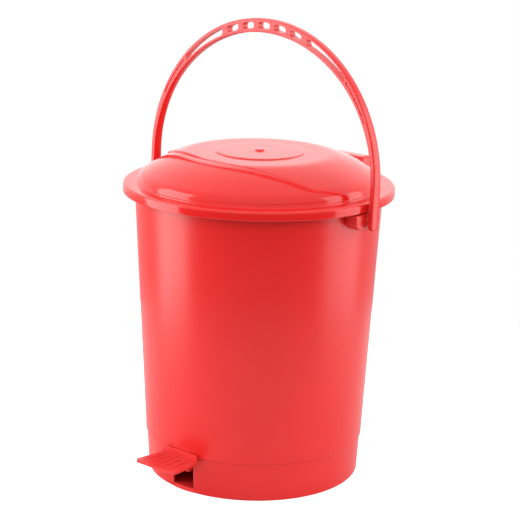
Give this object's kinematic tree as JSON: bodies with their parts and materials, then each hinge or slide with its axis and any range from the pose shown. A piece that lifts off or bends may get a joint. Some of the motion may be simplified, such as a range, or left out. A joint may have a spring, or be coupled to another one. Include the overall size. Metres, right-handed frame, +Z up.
{
  "type": "pedal trash can",
  "caption": "Round tapered pedal bin of red plastic with a domed hinged lid, a lift-out inner bucket and a raised carrying handle.",
  "frame": {"origin": "centre of the foot circle, on the floor", "axes": "+Z up, -Y to the pedal at the front, +Y to the lid hinge, X along the handle's pivots"},
  "size_m": [0.297, 0.302, 0.474],
  "materials": {
    "red_body": "glossy injection-moulded polypropylene",
    "red_lid": "glossy injection-moulded polypropylene",
    "red_pedal": "satin-gloss injection-moulded polypropylene",
    "red_handle": "glossy injection-moulded polypropylene",
    "red_mechanism": "satin moulded plastic",
    "liner_plastic": "satin moulded polypropylene",
    "zinc_steel": "zinc plated",
    "spring_steel": "dark spring steel"
  },
  "bodies": {
    "bucket": {"outer_bucket": "red_body", "base_plate": "red_body", "base_screws": "zinc_steel", "inner_bucket": "liner_plastic", "hinge_pin": "zinc_steel", "hinge_clips": "spring_steel", "pedal_axle": "zinc_steel", "axle_clips": "spring_steel"},
    "lid": {"lid": "red_lid", "lid_crank": "red_mechanism", "crank_screws": "zinc_steel"},
    "push_rod": {"push_rod": "zinc_steel", "rod_clips": "spring_steel"},
    "pedal": {"pedal": "red_pedal"},
    "handle_pins": {"handle_pins": "red_mechanism", "handle_washers": "red_mechanism"},
    "handle": {"handle": "red_handle"}
  },
  "joints": [
    {"name": "lid_hinge", "type": "hinge", "parent": "bucket", "child": "lid", "pos_m": [0, 0.133, 0.297], "axis": [-1, 0, 0], "range_deg": [0, 70]},
    {"name": "pedal_pivot", "type": "hinge", "parent": "bucket", "child": "pedal", "pos_m": [0, -0.01, 0.0282], "axis": [1, 0, 0], "range_deg": [0, 9.2]},
    {"name": "rod_pivot", "type": "hinge", "parent": "lid", "child": "push_rod", "pos_m": [0, 0.11989, 0.28782], "axis": [1, 0, 0], "range_deg": [0, 71]},
    {"name": "handle_carry", "type": "hinge", "parent": "bucket", "child": "handle_pins", "pos_m": [0, 0, 0.2905], "axis": [-1, 0, 0], "range_deg": [0, 126.5]},
    {"name": "handle_swing", "type": "hinge", "parent": "handle_pins", "child": "handle", "pos_m": [0, 0, 0.2905], "axis": [-1, 0, 0], "range_deg": [-131, 0]}
  ],
  "couplings": [
    {"joint": "pedal_pivot", "follows": "lid_hinge", "ratio": 0.1306},
    {"joint": "rod_pivot", "follows": "lid_hinge", "ratio": 1},
    {"joint": "handle_carry", "follows": "lid_hinge", "ratio": 1.8}
  ]
}
